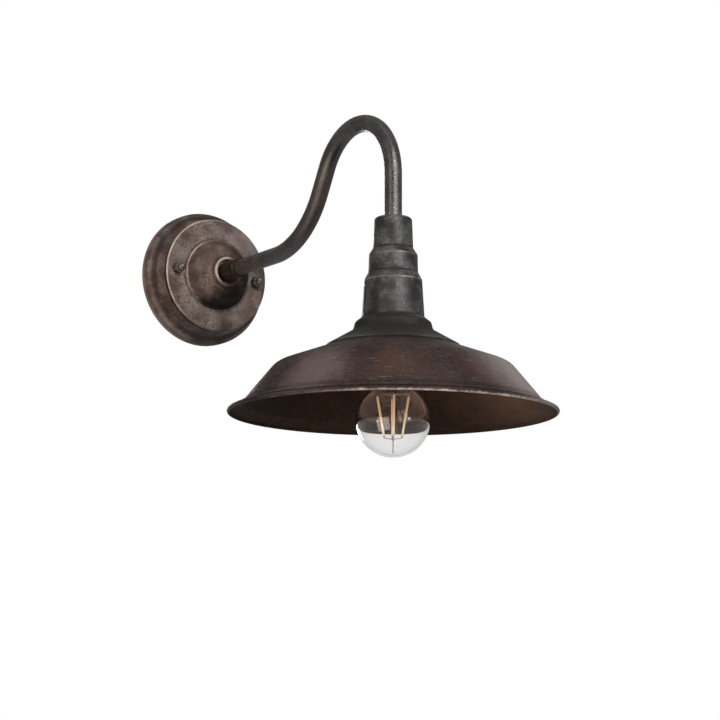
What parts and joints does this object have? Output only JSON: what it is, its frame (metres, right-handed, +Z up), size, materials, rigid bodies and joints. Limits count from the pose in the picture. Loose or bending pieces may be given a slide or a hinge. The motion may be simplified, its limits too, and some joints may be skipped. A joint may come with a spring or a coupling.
{
  "type": "gooseneck wall sconce",
  "caption": "Wall lamp: stepped round canopy, S-bent gooseneck tube, three-tier socket neck and shallow barn shade over a screw-in globe bulb.",
  "frame": {"origin": "centre of the wall bracket's back face, which lies on the wall", "axes": "+Y into the wall, +Z up, +X to the right as seen facing the wall; the lamp reaches out along -Y"},
  "size_m": [0.26, 0.44, 0.2867],
  "materials": {
    "rusted_brown": "brown rust-effect lacquer, pitted and rubbed",
    "charcoal_iron": "charcoal lacquer with grey speckle",
    "black_sleeve": "near-black lacquer",
    "dark_fastener": "dark bronze lacquer",
    "zinc_steel": "zinc-plated steel",
    "tinned_copper": "tinned",
    "brass": "plain brass",
    "block_nylon": "natural nylon",
    "brown_insulation": "smooth",
    "blue_insulation": "smooth",
    "green_insulation": "green with a yellow stripe",
    "black_bakelite": "moulded, satin",
    "white_ceramic": "glazed",
    "clear_glass": "clear",
    "nickel_cap": "nickel-plated",
    "black_glass": "black glass",
    "circuit_board": "white solder mask",
    "filament_coat": "amber phosphor coat",
    "support_wire": "drawn wire"
  },
  "bodies": {
    "fixture": {"canopy_shell": "rusted_brown", "canopy_boss": "rusted_brown", "shade": "rusted_brown", "arm_tube": "charcoal_iron", "neck_housing": "charcoal_iron", "arm_ferrule": "black_sleeve", "cap_nuts": "dark_fastener", "cap_washers": "dark_fastener", "wall_bracket": "zinc_steel", "bracket_studs": "zinc_steel", "stud_nuts": "zinc_steel", "arm_lock_washer": "zinc_steel", "arm_lock_nut": "zinc_steel", "neck_lock_washer": "zinc_steel", "neck_lock_nut": "zinc_steel", "holder_jam_nut": "zinc_steel", "earth_stud": "zinc_steel", "earth_nut": "zinc_steel", "clamp_screws": "zinc_steel", "block_screws": "zinc_steel", "holder_screws": "zinc_steel", "earth_tag": "tinned_copper", "terminal_inserts": "brass", "screw_shell": "brass", "centre_contact": "brass", "contact_rivets": "brass", "holder_terminals": "brass", "arm_end_bush": "brass", "neck_nipple": "brass", "terminal_block": "block_nylon", "live_wire": "brown_insulation", "neutral_wire": "blue_insulation", "earth_wire": "green_insulation", "holder_cap": "black_bakelite", "holder_skirt": "black_bakelite", "shade_ring": "black_bakelite", "holder_core": "white_ceramic"},
    "bulb_foot": {"bulb_eyelet": "nickel_cap", "bulb_insulator": "black_glass"},
    "bulb": {"bulb_cap": "nickel_cap", "bulb_glass": "clear_glass", "bulb_stem": "clear_glass", "driver_board": "circuit_board", "led_filaments": "filament_coat", "filament_leads": "support_wire", "filament_rod": "support_wire"}
  },
  "joints": [
    {"name": "bulb_advance", "type": "slide", "parent": "fixture", "child": "bulb_foot", "axis": [0, 0, -1], "range_m": [0, 0.02177]},
    {"name": "bulb_unscrew", "type": "hinge", "parent": "bulb_foot", "child": "bulb", "pos_m": [0, -0.31, -0.1], "axis": [0, 0, -1], "range_deg": [0, 2160]}
  ],
  "couplings": [
    {"joint": "bulb_unscrew", "follows": "bulb_advance", "rad_per_m": 1731.4}
  ]
}
